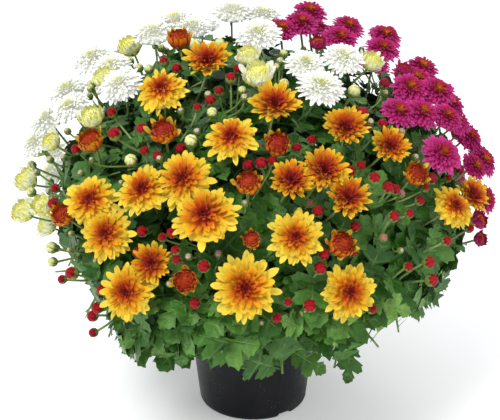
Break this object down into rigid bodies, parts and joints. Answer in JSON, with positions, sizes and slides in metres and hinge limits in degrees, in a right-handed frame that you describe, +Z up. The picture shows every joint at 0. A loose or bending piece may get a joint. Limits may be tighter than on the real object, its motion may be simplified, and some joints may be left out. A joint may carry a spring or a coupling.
{
  "type": "pot chrysanthemum",
  "caption": "Dome-shaped potted chrysanthemum with white, yellow and magenta flowers over lobed green leaves in a black nursery pot.",
  "frame": {"origin": "middle of the pot's flat underside", "axes": "+Z up out of the pot, -Y towards the side that the picture shows"},
  "size_m": [0.4428, 0.4493, 0.3816],
  "materials": {
    "pot": "matt, finely mottled recycled plastic",
    "soil": "moist crumbly peat and bark",
    "foliage": "soft satin leaf green, paler below",
    "petals_white": "soft matt petals",
    "petals_yellow": "soft matt petals flushed orange at the base",
    "petals_magenta": "soft matt petals"
  },
  "bodies": {
    "root": {"flowers_magenta_01": "petals_magenta", "flowers_magenta_02": "petals_magenta", "flowers_magenta_03": "petals_magenta", "flowers_magenta_04": "petals_magenta", "flowers_magenta_05": "petals_magenta", "flowers_magenta_06": "petals_magenta", "flowers_magenta_07": "petals_magenta", "flowers_magenta_08": "petals_magenta", "flowers_magenta_09": "petals_magenta", "flowers_magenta_10": "petals_magenta", "flowers_magenta_11": "petals_magenta", "flowers_magenta_12": "petals_magenta", "flowers_magenta_13": "petals_magenta", "flowers_magenta_14": "petals_magenta", "flowers_magenta_15": "petals_magenta", "flowers_magenta_16": "petals_magenta", "flowers_white_01": "petals_white", "flowers_white_02": "petals_white", "flowers_white_03": "petals_white", "flowers_white_04": "petals_white", "flowers_white_05": "petals_white", "flowers_white_06": "petals_white", "flowers_white_07": "petals_white", "flowers_white_08": "petals_white", "flowers_white_09": "petals_white", "flowers_white_10": "petals_white", "flowers_white_11": "petals_white", "flowers_white_12": "petals_white", "flowers_white_13": "petals_white", "flowers_white_14": "petals_white", "flowers_white_15": "petals_white", "flowers_yellow_01": "petals_yellow", "flowers_yellow_02": "petals_yellow", "flowers_yellow_03": "petals_yellow", "flowers_yellow_04": "petals_yellow", "flowers_yellow_05": "petals_yellow", "flowers_yellow_06": "petals_yellow", "flowers_yellow_07": "petals_yellow", "flowers_yellow_08": "petals_yellow", "flowers_yellow_09": "petals_yellow", "flowers_yellow_10": "petals_yellow", "flowers_yellow_11": "petals_yellow", "flowers_yellow_12": "petals_yellow", "flowers_yellow_13": "petals_yellow", "flowers_yellow_14": "petals_yellow", "plant_magenta": "foliage", "plant_white": "foliage", "plant_yellow": "foliage", "pot": "pot", "soil": "soil"}
  },
  "joints": []
}
